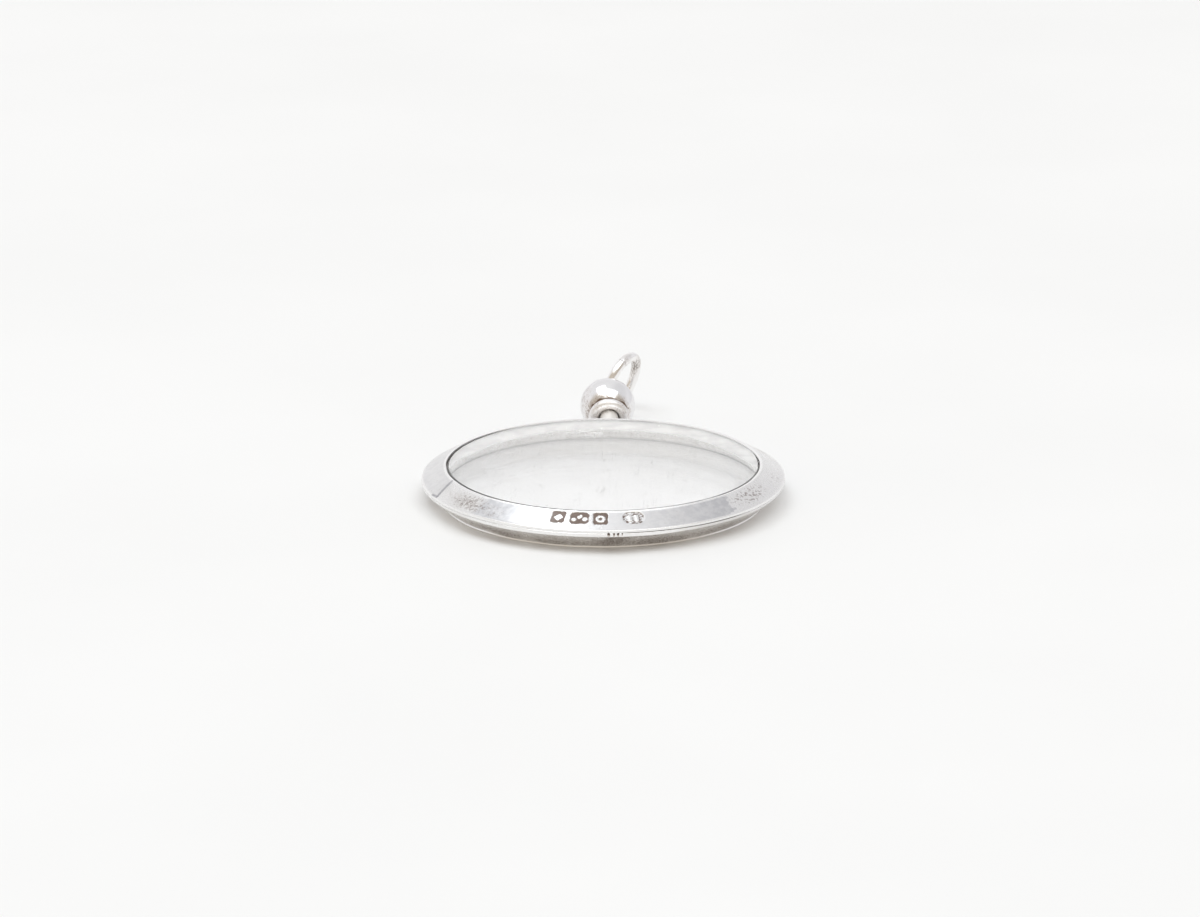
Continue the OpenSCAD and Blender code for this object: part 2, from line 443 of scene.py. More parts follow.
SILVER_FRAME = silver("silver_frame", (0.885, 0.88, 0.875), (0.59, 0.56, 0.535), (0.20, 0.155, 0.135), 0.25)
SILVER_KNOB = silver("silver_knob", (0.905, 0.90, 0.905), (0.66, 0.60, 0.56), (0.19, 0.135, 0.10), 0.15, 0.6, 0.02)
SILVER_RING = silver("silver_ring", (0.94, 0.93, 0.925), (0.72, 0.67, 0.63), (0.14, 0.115, 0.095), 0.18, 0.8, 0.02)
SILVER_KNOB.node_tree.nodes["Principled BSDF"].inputs["Specular Tint"].default_value = (0.89, 0.89, 0.90, 1.0)
SILVER_POST = silver("silver_post", (0.91, 0.90, 0.885), (0.62, 0.58, 0.54), (0.12, 0.10, 0.085), 0.30, 1.0, 0.05)
SOLDER = silver("silver_solder", (0.83, 0.81, 0.77), (0.48, 0.43, 0.38), (0.08, 0.06, 0.05), 0.30, 1.2, 0.2)
GLASS = clear_glass("glass")

# ---------------------------------------------------------------- frame: rims


# each stretch of a rim with its step in degrees: the front rim is close at the scratch, the punched fields and the
# stain's border, and the back rim at the pits
FRONT_STEPS = [(-70.0, 0.24), (-61.0, 0.75), (-17.5, 0.122), (17.5, 0.75), (44.5, 0.35), (55.0, 1.15), (290.0, None)]
BACK_STEPS = [(-1.0, 0.14), (11.5, 0.9), (359.0, None)]


def rim_angles(stops):
    out = []
    for (a, step), (b, _) in zip(stops[:-1], stops[1:]):
        out.append(np.linspace(a, b, max(2, round((b - a) / step)), endpoint=False))
    return np.radians(np.concatenate(out))


def sd_box(x, y, w, h, r):
    qx, qy = np.abs(x) - (w / 2 - r), np.abs(y) - (h / 2 - r)
    return np.hypot(np.maximum(qx, 0), np.maximum(qy, 0)) + np.minimum(np.maximum(qx, qy), 0) - r


def field_shapes(k, x, y):
    """Distance to the outline of a punched field and to its plain raised figure."""
    w = FIELDS[k][1]
    if k == 0:
        c = math.sqrt(0.5)
        return sd_box(x, y, w, FIELD_H, 0.22), sd_box((x + y) * c, (y - x) * c, 0.5, 0.5, 0.03)
    if k == 1:
        dots = [np.hypot(x - a, y - (0.16 if a == 0 else -0.12)) - 0.17 for a in (-0.45, 0, 0.45)]
        return sd_box(x, y, w, FIELD_H, 0.4), np.minimum.reduce(dots)
    if k == 2:
        return sd_box(x, y, w, FIELD_H, 0.22), np.abs(np.hypot(x, y) - 0.27) - 0.09
    bars = [sd_box(x - a, y, 0.24, 0.66, 0.03) for a in (-0.28, 0.28)]
    return sd_box(x, y, w, FIELD_H, 0.6), np.minimum.reduce(bars)


def angle_from(pts, phi_deg):
    """Degrees from phi_deg round the axis, -180 to 180."""
    a = np.degrees(np.arctan2(pts[:, 0], -pts[:, 1]))
    return (a - phi_deg + 180) % 360 - 180


def blob(pts, phi, rad, wide, high):
    """A soft spot on a rim, at an angle and a radius."""
    r = np.hypot(pts[:, 0], pts[:, 1])
    return np.exp(-((angle_from(pts, phi) / wide) ** 2) - ((r - rad) / high) ** 2)


ROUGH_EDGE = Waves(11, 0.09, 0.4, 20)
SLOW = Waves(12, 3.0, 11.0, 10)
LIP_WAVE = Waves(13, 1.2, 5.0, 12)
GROUND = Waves(14, 0.10, 0.35, 20)


def punch_dark(pts):
    """How black the grounds of the fields are: the fourth was struck less deep and is rubbed cleaner, in patches."""
    return np.where(angle_from(pts, 0) > 6.5, 0.52 + 0.45 * ROUGH_EDGE(pts * 0.6), 0.88)


def snug(pts):
    """Where the front pane lies close up to its lip: round the head, and further round on the right."""
    turn = angle_from(pts, 0)
    return np.where(turn < 0, smooth(-122, -152, turn), smooth(90, 122, turn))


def channel_grime_and_shade(pts):
    """How much black lies in the channels round the panes: all of it at both sides and hardly any at the head. It is
    partly grime and partly painted shade, dark where the channels are seen edge-on.
    """
    return 1.0 - 0.97 * snug(pts)


def seam_open(pts):
    """Where the seam gapes a little, on the right of the foot."""
    turn = angle_from(pts, 0)
    return smooth(4, 12, turn) * smooth(58, 44, turn)


def carve_fields(pts):
    """Sinks the four fields into the front bevel. Returns the new points with masks of ground, figure and burr."""
    r = np.hypot(pts[:, 0], pts[:, 1])
    up = np.array([0.0, math.cos(SLOPE), math.sin(SLOPE)])
    ground, figure, burr = np.zeros(len(pts)), np.zeros(len(pts)), np.zeros(len(pts))
    line = 1.5 - (r - LIP_R) * math.tan(SLOPE)
    on = (np.abs(pts[:, 2] - line) < 0.05) & (r > LIP_R + 0.02) & (r < EDGE_R - 0.06)
    drop = np.zeros(len(pts))
    for k, (phi, _) in enumerate(FIELDS):
        d = np.radians(angle_from(pts, phi))
        near = on & (np.abs(d) < 0.12)
        x = r * np.sin(d)
        y = (-r * np.cos(d) + LIP_R + 0.77 * math.cos(SLOPE)) * up[1]
        y = y + (pts[:, 2] - 1.5 + 0.77 * math.sin(SLOPE)) * up[2]
        worn = ROUGH_EDGE(pts) * 0.022
        outline, shape = field_shapes(k, x, y)
        outline, shape = outline + worn, shape + worn * 0.8
        inside = smooth(0.012, -0.060, outline)
        raised = smooth(0.075, -0.035, shape)
        low = inside * (1 - raised)
        sunk = inside * (0.030 + (FIELD_DEPTH - 0.035) * (1 - raised)) + low * GROUND(pts) * 0.008
        drop = np.where(near, sunk - 0.006 * np.exp(-((outline - 0.045) / 0.03) ** 2), drop)
        ground = np.where(near, np.maximum(ground, low), ground)
        figure = np.where(near, np.maximum(figure, inside * raised), figure)
        burr = np.where(near, np.maximum(burr, np.exp(-((outline - 0.03) / 0.035) ** 2)), burr)
    way = np.stack([pts[:, 0] / r * math.sin(SLOPE), pts[:, 1] / r * math.sin(SLOPE), 0 * r + math.cos(SLOPE)], -1)
    return pts - way * np.maximum(drop, 0.0)[:, None], ground, figure, burr


def carve_pits(pts):
    """Cuts the small holes along the seam at the foot."""
    r = np.hypot(pts[:, 0], pts[:, 1])
    dark = np.zeros(len(pts))
    for phi, size in PITS:
        d = np.radians(angle_from(pts, phi)) * EDGE_R
        flat = (d * 1.05) ** 2 + ((pts[:, 2] - 0.17) * 0.95) ** 2
        rough = size * (1 + 0.18 * ROUGH_EDGE(pts * 1.3))
        hole = (flat < rough**2) & (r > EDGE_R - 0.5)
        deep = (EDGE_R - 0.02) - np.sqrt(np.maximum(rough**2 - flat, 0))
        new = np.where(hole, np.minimum(r, deep), r)
        pts = pts * np.stack([new / r, new / r, np.ones(len(r))], -1)
        r = new
        dark = np.maximum(dark, smooth(1.35 * size, 0.75 * size, np.sqrt(flat)) * (r > EDGE_R - 0.5))
    return pts, dark


def gouge(pts):
    """The long scratch across the left of the front bevel, with its small foot. Returns depth 0 to 1."""
    r = np.hypot(pts[:, 0], pts[:, 1])
    phi = np.radians(angle_from(pts, -65.6))
    u, v = phi * 13.9, (r - LIP_R) / math.cos(SLOPE)
    way = ROUGH_EDGE(pts) * 0.03
    deep = np.zeros(len(pts))
    for (x0, y0), (x1, y1), w in (((-0.40, 0.12), (0.44, 1.97), 0.25), ((0.44, 1.97), (-0.26, 2.08), 0.21), ((-0.36, 0.22), (-0.14, 0.70), 0.30)):
        t = np.clip(((u - x0) * (x1 - x0) + (v - y0) * (y1 - y0)) / ((x1 - x0) ** 2 + (y1 - y0) ** 2), 0, 1)
        d = np.hypot(u - x0 - t * (x1 - x0), v - y0 - t * (y1 - y0)) + way
        deep = np.maximum(deep, smooth(w, 0.02, d) * (0.75 + 0.25 * t))
    return deep * (pts[:, 2] > 0.45)


def front_rim():
    corners = [
        (WALL_R, 0.252), (14.50, 0.252), (14.60, 0.247), (EDGE_R - 0.05, 0.247), (EDGE_R - 0.03, 0.264),
        (EDGE_R - 0.03, FRONT_EDGE - 0.02), (EDGE_R - 0.05, FRONT_EDGE), (LIP_R + 0.05, 1.478),
        (LIP_R + 0.02, 1.5), (LIP_OVER, 1.5), (LIP_OVER, 1.41), (LIP_IN, 1.33), (LIP_IN, 1.09), (GROOVE_R, 1.09),
        (GROOVE_R, 0.695), (WALL_R, 0.695),
    ]
    rads = [0.008, 0.02, 0.02, 0.01, 0.015, 0.03, 0.035, 0.02, 0.015, 0.02, 0.03, 0.03, 0.02, 0.01, 0.01, 0.015]
    base = fillet(corners, rads, [2, 1, 1, 3, 3, 3, 3, 3, 3, 3, 2, 2, 1, 1, 1, 2])
    # the bevel is its own long side: it gets the closest rows, for the fields, and the hidden sides get none
    prof, n = [], len(base)
    for i in range(n):
        a, b = base[i], base[(i + 1) % n]
        length = float(np.linalg.norm(b - a))
        seen = max(a[0], b[0]) < WALL_R + 0.01 or min(a[0], b[0]) > 14.55
        part = spread(np.array([a, b]), 0.031 if length > 1.65 else 0.16 if seen else 2.0, closed=False)
        prof.append(part[:-1])
    prof = np.concatenate(prof)
    pts, faces = revolve(prof, rim_angles(FRONT_STEPS))
    r = np.hypot(pts[:, 0], pts[:, 1])
    slow = SLOW(pts)
    deep = gouge(pts)
    lip = smooth(1.25, 1.48, pts[:, 2]) * smooth(13.16, 13.05, r)
    pts2, ground, figure, burr = carve_fields(pts)
    bevel = smooth(0.47, 0.60, pts[:, 2]) * smooth(13.10, 13.3, r)
    way = np.stack([pts[:, 0] / r * math.sin(SLOPE), pts[:, 1] / r * math.sin(SLOPE), 0 * r + math.cos(SLOPE)], -1)
    pts2 -= way * (bevel * (0.007 + 0.007 * slow) + deep * 0.035)[:, None]
    # the lip was rubbed over the glass by hand, so its inner edge wanders a little
    turn = angle_from(pts, 0)
    wander = 1 + (LIP_WAVE(pts) * 0.5 + 0.5) * 0.022 * lip / r
    pts2[:, :2] *= np.where(lip > 0, wander, 1.0)[:, None]
    tight = np.where(turn < 0, 0.02 * smooth(-150, -110, turn), 0.08 * smooth(150, 105, turn))
    tight = tight * np.clip((13.02 - r) / 0.045, 0, 1) * (pts[:, 2] > 1.32)
    pts2[:, :2] *= (1 - tight / r)[:, None]
    # at the head its inner edge was pressed down and over the edge of the glass
    over = snug(pts) * np.clip((13.06 - r) / 0.085, 0, 1) * (pts[:, 2] > 1.395)
    pts2[:, 2] += over * (1.4555 + 0.0145 * np.clip((pts[:, 2] - 1.41) / 0.09, 0, 1) - pts[:, 2])
    pts2[:, :2] *= (1 - 0.10 * over / r)[:, None]
    mouth = smooth(14.5, 14.85, r) * smooth(0.34, 0.28, pts[:, 2])
    pts2[:, 2] += mouth * 0.026 * seam_open(pts)
    pts2, holes = carve_pits(pts2)
    r2 = np.hypot(pts2[:, 0], pts2[:, 1])
    # grime lies in the channel round the pane, below the rubbed lip, and is painted darker at the sides as shade;
    # between the panes the wall is only dull
    channel = smooth(13.10, 13.03, r) * (r > 12.99) * smooth(1.28, 1.12, pts[:, 2]) * (pts[:, 2] > 1.0) * channel_grime_and_shade(pts)
    inner = (r < 13.25) * smooth(1.50, 1.42, pts[:, 2]) * (pts[:, 2] > 0.30)
    seam = smooth(0.280, 0.255, pts[:, 2]) * smooth(14.99, 14.95, r) * (r > 13.2) * (0.1 + 0.8 * seam_open(pts))
    cavity = np.clip(ground * punch_dark(pts) + holes + channel * 0.95 + seam + deep * 0.3, 0, 1)
    sharp = np.exp(-(((pts[:, 2] - 0.455) / 0.035) ** 2)) * (r > 14.9) + smooth(13.15, 13.11, r) * (pts[:, 2] > 1.46) * (r > 12.95) * 1.1
    rubbed = figure * 0.9 + burr * 0.45 + 0.55 * blob(pts, -9, 13.9, 9.5, 1.8) * bevel * (1 - ground) * (1 - figure)
    rubbed = rubbed + 0.35 * blob(pts, -22, 14.0, 8.0, 1.6) * bevel
    # the wall between the panes is clean and bright, and the lip's inner side at the head is painted bright, a painted
    # light
    clean_and_lit = (r < 12.96) * (pts[:, 2] < 0.72) + (1 - channel_grime_and_shade(pts)) * (r < 13.10) * (pts[:, 2] > 0.68)
    edge = np.clip(sharp * 0.9 * (1 - holes) + rubbed + clean_and_lit, 0, 1)
    tarnish = (
        0.22 * blob(pts, -33.5, 14.0, 3.6, 1.6) +
        0.56 * blob(pts, -48, 14.1, 12.0, 0.85) + 0.20 * blob(pts, -37, 14.6, 3.0, 0.35) + 0.18 * blob(pts, 61, 14.1, 11.5, 0.85)
        + 0.25 * blob(pts, -67, 13.9, 6.0, 0.8) + 0.45 * blob(pts, 118, 14.2, 12, 0.8) + 0.45 * blob(pts, -124, 13.8, 14, 0.8)
        + 0.4 * blob(pts, 158, 14.0, 10, 0.9) + 0.22 * blob(pts, 26, 14.2, 10, 0.8)
    )
    tarnish = np.clip(tarnish * (1 - figure) + 0.04, 0, 1) * (pts[:, 2] > 0.40)
    # a darker, even film on the right that ends at a ragged line; tone is how dark it is along its length
    up_bevel = (r - LIP_R) / math.cos(SLOPE)
    border = 51.2 - 2.15 * up_bevel + 2.4 * np.exp(-(((up_bevel - 1.66) / 0.16) ** 2)) + 0.9 * ROUGH_EDGE(pts)
    stain = smooth(-10, -2, turn) * smooth(border + 2.4, border - 2.4, turn) * bevel
    freckle = 0.95 * blob(pts, 60.5, 13.95, 9.0, 0.62) + 0.70 * blob(pts, -47, 14.05, 10.5, 0.72)
    freckle = freckle + 0.6 * blob(pts, 45.5, 14.62, 1.2, 0.2) + 0.35 * blob(pts, 84, 14.2, 7.0, 0.8)
    freckle = np.clip(freckle * bevel * (1 - figure) * (1 - ground), 0, 1)
    tone = 0.43 * smooth(-6, 5, turn) + 0.17 * smooth(10, 28, turn) + 0.28 * smooth(28, 40, turn) + 0.32 * smooth(43, 51, turn)
    far = smooth(146, 152, turn) * smooth(176, 170, turn) * bevel
    haze = 0.36 * smooth(-61, -70, turn) * smooth(-125, -105, turn) + 0.90 * smooth(-23, -32, turn) * smooth(-46, -40, turn)
    haze = haze + 0.15 * smooth(66, 76, turn) * smooth(125, 100, turn)
    tone = np.maximum(np.maximum(tone * (turn < 60) * (stain > 0), 0.7 * far), haze)
    stain = np.maximum(np.maximum(stain, far), (haze > 0.02) * bevel)
    values = {
        "cavity": cavity, "edge": edge, "tarnish": tarnish * (1 - inner), "scratch": deep, "stain": stain, "tone": tone,
        "freckle": freckle, "matt": inner * (pts[:, 2] > 0.72) * (0.2 + 0.8 * (1 - channel_grime_and_shade(pts))),
    }
    return new_object("front_rim", pts2, faces, attrs=values, material=SILVER_FRAME)


def back_rim():
    corners = [
        (WALL_R, 0.248), (14.50, 0.248), (14.60, 0.244), (EDGE_R - 0.03, 0.244), (EDGE_R, 0.215),
        (EDGE_R, BACK_EDGE), (EDGE_R - 0.03, BACK_EDGE - 0.03), (LIP_R + 0.19, -1.357), (LIP_R + 0.23, -1.46),
        (LIP_R + 0.20, -1.5), (LIP_OVER, -1.5), (LIP_OVER, -1.41), (LIP_IN, -1.33), (LIP_IN, -1.09),
        (GROOVE_R, -1.09), (GROOVE_R, -0.695), (WALL_R, -0.695),
    ]
    rads = [0.008, 0.02, 0.02, 0.015, 0.025, 0.04, 0.04, 0.008, 0.015, 0.015, 0.04, 0.03, 0.03, 0.02, 0.01, 0.01, 0.015]
    prof = spread(fillet(corners, rads, 3), 0.10)
    pts, faces = revolve(prof, rim_angles(BACK_STEPS))
    r = np.hypot(pts[:, 0], pts[:, 1])
    z = pts[:, 2]
    slow = Waves(21, 3.0, 10.0, 10)(pts)
    bevel = smooth(-0.04, -0.2, z) * smooth(13.10, 13.3, r)
    angle = math.atan2(1.415, 1.84)
    way = np.stack([pts[:, 0] / r * math.sin(angle), pts[:, 1] / r * math.sin(angle), 0 * r - math.cos(angle)], -1)
    pts2 = pts - way * (bevel * (0.008 + 0.008 * slow))[:, None]
    # away from the foot the edge was filed thinner from below
    turn = angle_from(pts, 0)
    filed = np.where(turn < 0, 0.13 * smooth(-26, -50, turn), 0.15 * smooth(14, 34, turn)) * smooth(150, 120, np.abs(turn))
    filed = filed * smooth(0.20, -0.03, z) * np.clip((r - 13.4) / 1.5, 0, 1)
    pts2[:, :2] *= (1 - filed / r)[:, None]
    pts2, holes = carve_pits(pts2)
    # the channel's black is partly grime and partly painted shade, dark at the sides
    channel = smooth(13.10, 13.03, r) * (r > 12.99) * smooth(1.28, 1.12, -z) * (z < -1.0) * channel_grime_and_shade(pts) * 0.3
    inner = (r < 13.25) * smooth(1.50, 1.42, -z) * (z < 0.245)
    wall = (r < 12.96) * (z > -0.72)
    foot = (r > 13.2) * smooth(-1.345, -1.362, z)
    seam = smooth(0.22, 0.240, z) * smooth(15.02, 14.97, r) * (r > 13.2) * (0.1 + 0.8 * seam_open(pts))
    # the lower bevel is also darkened a little all over, a painted shade
    cavity = np.clip(holes + channel * 0.8 + seam + 0.10 * bevel * (1 - foot), 0, 1)
    # painted highlight and light: the foot's outer face is made bright to draw its lit line, the wall between the panes
    # is brighter high up than low down, and the lip's inner side is brighter at the head
    edge = np.clip(np.exp(-(((z + 0.02) / 0.05) ** 2)) * (r > 14.93) * 0.9 + foot * 1.2 + (r > 14.99) * (z < 0.19) * (z > -0.03) * 0.6, 0, 1)
    edge = np.clip(edge * (1 - holes) + wall * smooth(-0.15, 0.15, z) + (inner - wall * inner) * (1 - channel_grime_and_shade(pts)), 0, 1)
    rng = np.random.default_rng(5)
    tarnish = 0.30 + 0 * r
    for _ in range(16):
        tarnish = tarnish + rng.uniform(0.15, 0.5) * blob(pts, rng.uniform(-180, 180), rng.uniform(13.3, 14.8), rng.uniform(4, 14), rng.uniform(0.4, 0.9))
    tarnish = tarnish + 0.8 * blob(pts, 6.3, 14.6, 3.2, 0.7)
    # the wall between the panes is darkened low down at the back: painted shade, carried in tarnish
    tarnish = np.clip(tarnish, 0, 0.95) * smooth(-0.02, -0.12, z) * (1 - foot) * (1 - inner) + 0.38 * wall * smooth(0.05, -0.25, z) * smooth(95, 130, np.abs(turn))
    values = {"cavity": cavity, "edge": edge, "tarnish": tarnish, "scratch": 0 * r, "matt": np.maximum(inner - wall * inner, 0.25 * foot)}
    return new_object("back_rim", pts2, faces, attrs=values, material=SILVER_FRAME)


def seam_solder():
    """Solder in the seam at the foot, with a wavy face and thin ends."""
    n = 150
    phis = np.radians(np.linspace(-5.75, 11.15, n))
    section = spread(fillet([(13.2, 0.17), (14.84, 0.17), (14.84, 0.33), (13.2, 0.33)], [0.02, 0.05, 0.05, 0.02], 4), 0.2)
    pts, faces = revolve(section, phis, full=False)
    r = np.hypot(pts[:, 0], pts[:, 1])
    a = np.degrees(np.arctan2(pts[:, 0], -pts[:, 1]))
    ends = smooth(-5.75, -4.6, a) * smooth(11.15, 10.0, a)
    face = smooth(13.5, 14.7, r)
    push = (-0.45 * (1 - ends) + 0.03 * Waves(31, 0.3, 1.4, 12)(pts) - 0.02) * face
    new = r + push
    pts = pts * np.stack([new / r, new / r, np.ones(len(r))], -1)
    pts, holes = carve_pits(pts)
    cols = len(section)
    faces = capped(faces, n, cols)
    dark = np.clip(holes + 0.25 + 0.5 * (1 - ends), 0, 1)
    return new_object("seam_solder", pts, faces, attrs={"cavity": dark, "edge": 0 * r, "tarnish": 0.5 + 0 * r, "scratch": 0 * r}, material=SOLDER)


# ---------------------------------------------------------------- frame: split post


def half_post(name, sign):
    """One half of the split, threaded post. sign -1 is the upper half (local y points down)."""
    stations = np.concatenate([np.linspace(-1.25, 1.0, 26), np.linspace(1.0, 4.33, 260)[1:], [4.36, 4.39, 4.44, 4.49, 4.53]])
    arc_n, flat_n, pitch = 56, 12, 0.36
    rows, cav, edg = [], [], []
    for s in stations:
        if sign < 0:
            yc = (s * math.sin(RISE) - SEAM_HI) / math.cos(RISE) if s < 1.233 else -0.05
        else:
            yc = (s * math.sin(RISE) - SEAM_LO) / math.cos(RISE) if s < 1.233 else 0.05
        size = POST_R - max(0.0, s - 4.39) - 0.002
        start = math.asin(max(-0.98, min(0.98, sign * yc / size)))
        ths = np.linspace(start, math.pi - start, arc_n)
        turn = ths * sign
        wave = (s / pitch - turn / (2 * math.pi)) % 1.0
        tooth = np.abs(wave * 2 - 1)
        on = float(smooth(1.75, 2.05, s) * smooth(4.50, 4.30, s))
        cut = on * 0.085 * smooth(0.15, 0.85, tooth)
        rad = size - cut
        x, y = rad * np.cos(ths), sign * rad * np.sin(ths)
        y = np.where(sign * y < sign * yc, yc, y)
        fx = np.linspace(x[-1], x[0], flat_n + 2)[1:-1]
        rows.append(np.concatenate([np.stack([x, y, s + 0 * x], -1), np.stack([fx, yc + 0 * fx, s + 0 * fx], -1)]))
        cav.append(np.concatenate([smooth(0.02, 0.075, cut) * 0.45 + 0.05, 0.9 + 0 * fx]))
        edg.append(np.concatenate([(1 - smooth(0.0, 0.02, cut)) * 0.6 * on + (1 - on) * 0.25, 0 * fx]))
    cols = arc_n + flat_n
    pts = np.concatenate(rows)
    faces = capped(grid_faces(len(stations), cols, False, True), len(stations), cols)
    cavity = np.concatenate(cav)
    root = smooth(0.5, -0.1, pts[:, 2])
    plain = smooth(2.1, 1.8, pts[:, 2])
    values = {
        "cavity": np.clip(cavity + root * 0.4, 0, 1), "edge": np.concatenate(edg), "tarnish": 0.35 - 0.25 * plain,
        "scratch": 0 * cavity, "matt": 0.5 * plain,
    }
    return new_object(name, pts, faces, ON_POST, values, SILVER_POST)


# ---------------------------------------------------------------- knob


def knob():
    """Ball, bead and bore as one turned body."""
    meet = math.radians(63.5)
    bead = [(BEAD_R + BEAD_W * math.cos(t), BEAD_AT + BEAD_W * math.sin(t)) for t in np.linspace(math.radians(182), math.radians(360 + 58.5), 64)]
    rho = BEAD_R + BEAD_W * math.cos(meet)
    back = math.asin((rho + 0.035) / BALL_R)
    ball = [(BALL_R * math.sin(t), BALL_AT - BALL_R * math.cos(t)) for t in np.linspace(back, math.pi - 0.002, 120)]
    crease = (rho - 0.055, BEAD_AT + BEAD_W * math.sin(meet) + 0.012)
    bore = [(0.0, 4.74), (0.60, 4.74), (0.80, 4.72), (BORE_R, 4.68)]
    turns = np.linspace(4.45, 2.35, 78)
    bore += [(BORE_R + 0.05 * (0.5 - 0.5 * math.cos(2 * math.pi * (t - 2.35) / 0.36)) * float(smooth(2.35, 2.6, t)), t) for t in turns]
    bore += [(BORE_R, 2.2), (0.86, 2.1)]
    prof = np.array(bore + bead + [crease] + ball + [(0.0, BALL_AT + BALL_R)])
    pts, faces = disc_revolve(prof, 224)
    rho_p, s = np.hypot(pts[:, 0], pts[:, 1]), pts[:, 2]
    gap = np.hypot(rho_p - crease[0], s - crease[1])
    inside = (rho_p < 0.9) & (s < 4.8)
    on_ball = (s > 2.46) & (rho_p > 1.5) | (s > 4.8)
    out = (np.arcsin(np.clip(rho_p / BALL_R, 0, 1)) - 0.70) * BALL_R + 0.07 * Waves(42, 0.5, 1.8)(pts)
    out = np.where(on_ball & (s < BALL_AT), out, 9.0)
    # painted shade and reflection, partly grime: the crease between ball and bead, the ball's lower front beside it and
    # the bore are darkened; the line after darkens the ball round the eye's foot
    cavity = np.clip(smooth(0.20, 0.05, gap) + smooth(0.42, 0.10, out) * 0.9 + inside * (s > 2.25) * 0.35, 0, 1)
    cavity = np.clip(cavity + smooth(0.75, 0.45, rho_p) * (s > 6.3) * 0.55, 0, 1)
    # painted light: the bead's inner slope at the bore is lightened, and a band on the bead's front is rubbed bright
    edge = np.exp(-(((s - 1.64) / 0.10) ** 2)) * (rho_p > 1.0) * 0.35 + smooth(1.15, 1.0, rho_p) * (s < 2.3) * 0.8
    # near the crease and on the ball's left flank the film is heavier: painted warm reflection and shade, partly
    # tarnish
    tarnish = 0.06 + 0.45 * smooth(1.1, 0.2, out) + 0.10 * smooth(-0.2, 0.6, Waves(41, 1.5, 4.0)(pts)) + 0.26 * (rho_p < 1.8) * (s < 2.47)
    tarnish = tarnish + 0.25 * smooth(-1.1, -2.1, pts[:, 0]) * (s > 2.47) * smooth(6.0, 5.0, s)
    matt = 0.60 * (rho_p > 0.86) * (s < 2.47)
    return new_object("ball", pts, faces, ON_POST, {"cavity": cavity, "edge": edge, "tarnish": np.clip(tarnish, 0, 1), "scratch": 0 * s, "matt": matt}, SILVER_KNOB)


def tube(path, ways, sides, radius, wire_n, squeeze=None):
    """A closed tube round a closed path: ways are the two cross-section directions at each point."""
    t = np.linspace(0, 2 * math.pi, wire_n, endpoint=False)
    rows = []
    for k, p in enumerate(path):
        w = radius[k]
        rows.append(p + np.outer(np.cos(t) * w * (squeeze[k] if squeeze is not None else 1.0), ways[k]) + np.outer(np.sin(t) * w, sides[k]))
    return np.concatenate(rows), grid_faces(len(path), wire_n, True, True)


def eye():
    """The wire eye on the far side of the ball, with solder drawn up where it joins."""
    n = 160
    b = np.linspace(0, 2 * math.pi, n, endpoint=False)
    path = np.stack([EYE_R * np.sin(b), 0 * b, -EYE_R * np.cos(b)], -1)
    way = np.stack([np.sin(b), 0 * b, -np.cos(b)], -1)
    side = np.tile([0.0, 1.0, 0.0], (n, 1))
    off = np.abs((b + math.pi) % (2 * math.pi) - math.pi)
    low = np.degrees(off)
    radius = 0.297 - 0.004 * (Waves(51, 0.8, 2.0)(path) * 0.5 + 0.5)
    worn = 1 - 0.03 * smooth(150, 180, low)
    pts, faces = tube(path, way, side, radius, 48, worn)
    # the solder swells the wire on its outer side only, so that the ring keeps its room inside
    t = np.tile(np.linspace(0, 2 * math.pi, 48, endpoint=False), n)
    away = np.repeat(way, 48, axis=0) * np.cos(t)[:, None] + np.repeat(side, 48, axis=0) * np.sin(t)[:, None]
    pts = pts + away * (np.repeat(0.11 * smooth(64, 22, low), 48) * (0.5 + 0.5 * np.cos(t)))[:, None]
    place = ON_POST @ Matrix.Translation((0, 0, EYE_AT)) @ Matrix.Rotation(EYE_TURN, 4, "Z")
    cavity = np.repeat(smooth(60, 25, low) * 0.7, 48)
    tarnish = np.repeat(0.25 + 0.4 * smooth(90, 40, low), 48)
    zero = np.zeros(len(pts))
    return new_object("eye", pts, faces, place, {"cavity": cavity, "edge": zero, "tarnish": tarnish, "scratch": zero}, SILVER_RING)


def bail_ring():
    """The hanging ring: round wire, a soldered butt joint and a flat worn by the eye."""
    n = 240
    b = np.linspace(0, 2 * math.pi, n, endpoint=False)
    way = np.stack([np.cos(b), np.sin(b), 0 * b], -1)
    path = way * RING_R
    side = np.tile([0.0, 0.0, 1.0], (n, 1))
    joint = np.abs((np.degrees(b) - 205 + 180) % 360 - 180)
    radius = RING_W - 0.003 - 0.005 * (Waves(61, 1.0, 4.0)(path) * 0.5 + 0.5)
    radius = radius - 0.012 * np.exp(-((joint / 1.1) ** 2)) + 0.0
    pts, faces = tube(path, way, side, radius, 56)
    eye_w = Vector(ON_POST @ Vector((0, 0, EYE_AT + EYE_R)))
    near = RING_M.inverted() @ eye_w
    at = math.degrees(math.atan2(near.y, near.x))
    worn = np.abs((np.degrees(b) - at + 180) % 360 - 180)
    t = np.tile(np.linspace(0, 2 * math.pi, 56, endpoint=False), n)
    inward = np.repeat(np.exp(-((worn / 13) ** 2)), 56) * np.clip(-np.cos(t), 0, 1)
    pts = pts + np.repeat(way, 56, axis=0) * (inward * 0.018)[:, None]
    cavity = np.repeat(np.exp(-((joint / 0.8) ** 2)) * 0.9, 56) + inward * 0.15
    dull = 0.16 + 0.22 * (Waves(62, 1.5, 5.0)(pts)) + 0.30 * np.clip(-np.cos(t), 0, 1)
    zero = np.zeros(len(pts))
    return new_object("bail_ring_wire", pts, faces, RING_M, {"cavity": np.clip(cavity, 0, 1), "edge": inward * 0.5, "tarnish": np.clip(dull, 0, 0.9), "scratch": zero}, SILVER_RING)


# ---------------------------------------------------------------- panes


